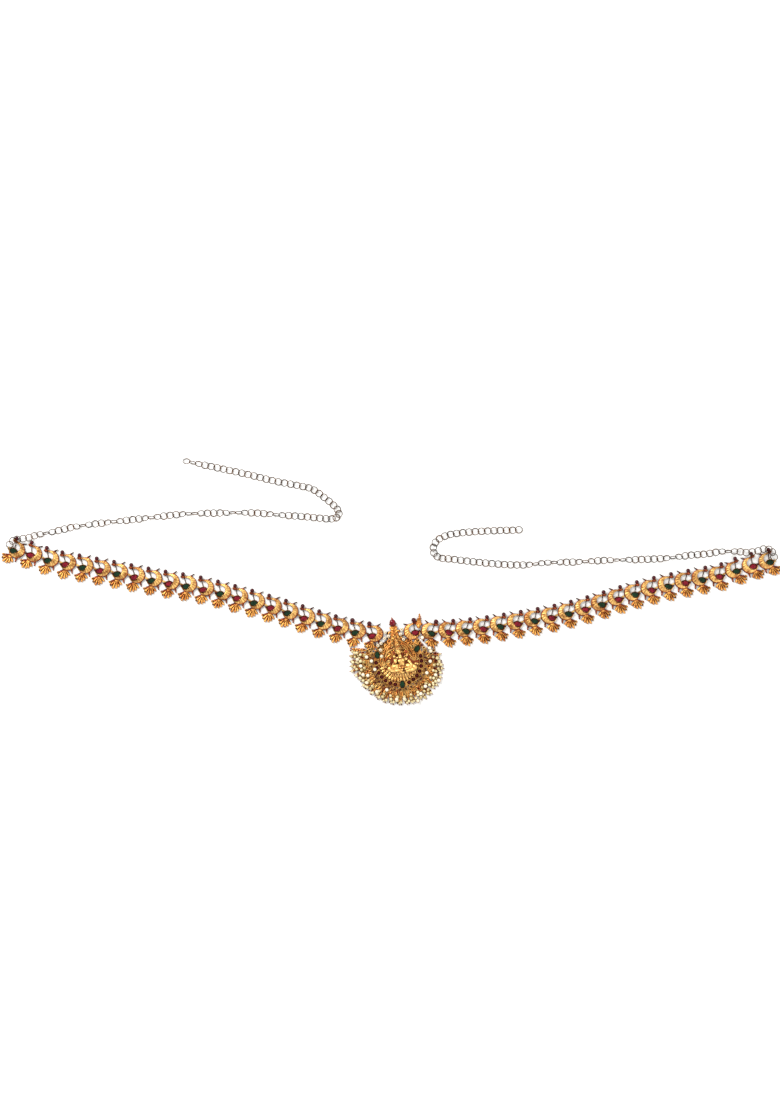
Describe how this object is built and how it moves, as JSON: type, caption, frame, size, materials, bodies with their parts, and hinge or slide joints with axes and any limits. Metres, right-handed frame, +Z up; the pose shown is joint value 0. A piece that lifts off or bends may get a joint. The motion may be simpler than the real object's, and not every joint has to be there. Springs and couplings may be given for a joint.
{
  "type": "waist belt",
  "caption": "Jewelled waist belt laid open and flat: linked cast peacocks with stones either side of a pearl-edged temple pendant, with a free chain at each end.",
  "frame": {"origin": "middle of the belt's bounding box, on the surface it lies on", "axes": "+X along the belt toward its right end as seen from above, +Y toward the tops of the links, +Z up from the surface"},
  "size_m": [0.7402, 0.2344, 0.0082],
  "materials": {
    "gold": "satin antique gold",
    "dull_gold": "dull aged gold",
    "ruby": "polished, deep red",
    "emerald": "polished, dark green",
    "pearl": "pearl lustre, cream"
  },
  "bodies": {
    "root": {"link_left_01": "gold", "link_left_02": "gold", "link_left_03": "gold", "link_left_04": "gold", "link_left_05": "gold", "link_left_06": "gold", "link_left_07": "gold", "link_left_08": "gold", "link_left_09": "gold", "link_left_10": "gold", "link_left_11": "gold", "link_left_12": "gold", "link_left_13": "gold", "link_left_14": "gold", "link_left_15": "gold", "link_left_16": "gold", "link_left_17": "gold", "link_left_18": "gold", "link_left_19": "gold", "link_left_20": "gold", "link_left_21": "gold", "link_right_01": "gold", "link_right_02": "gold", "link_right_03": "gold", "link_right_04": "gold", "link_right_05": "gold", "link_right_06": "gold", "link_right_07": "gold", "link_right_08": "gold", "link_right_09": "gold", "link_right_10": "gold", "link_right_11": "gold", "link_right_12": "gold", "link_right_13": "gold", "link_right_14": "gold", "link_right_15": "gold", "link_right_16": "gold", "link_right_17": "gold", "link_right_18": "gold", "link_right_19": "gold", "link_right_20": "gold", "link_right_21": "gold", "belt_rubies": "ruby", "belt_emeralds": "emerald", "pendant_frame": "gold", "deity_figure": "gold", "pendant_rubies": "ruby", "pendant_emeralds": "emerald", "arch_pearls": "pearl", "pearl_fringe": "pearl", "chain_left": "dull_gold", "chain_right": "dull_gold", "chain_left_end": "dull_gold", "chain_right_end": "dull_gold"}
  },
  "joints": []
}
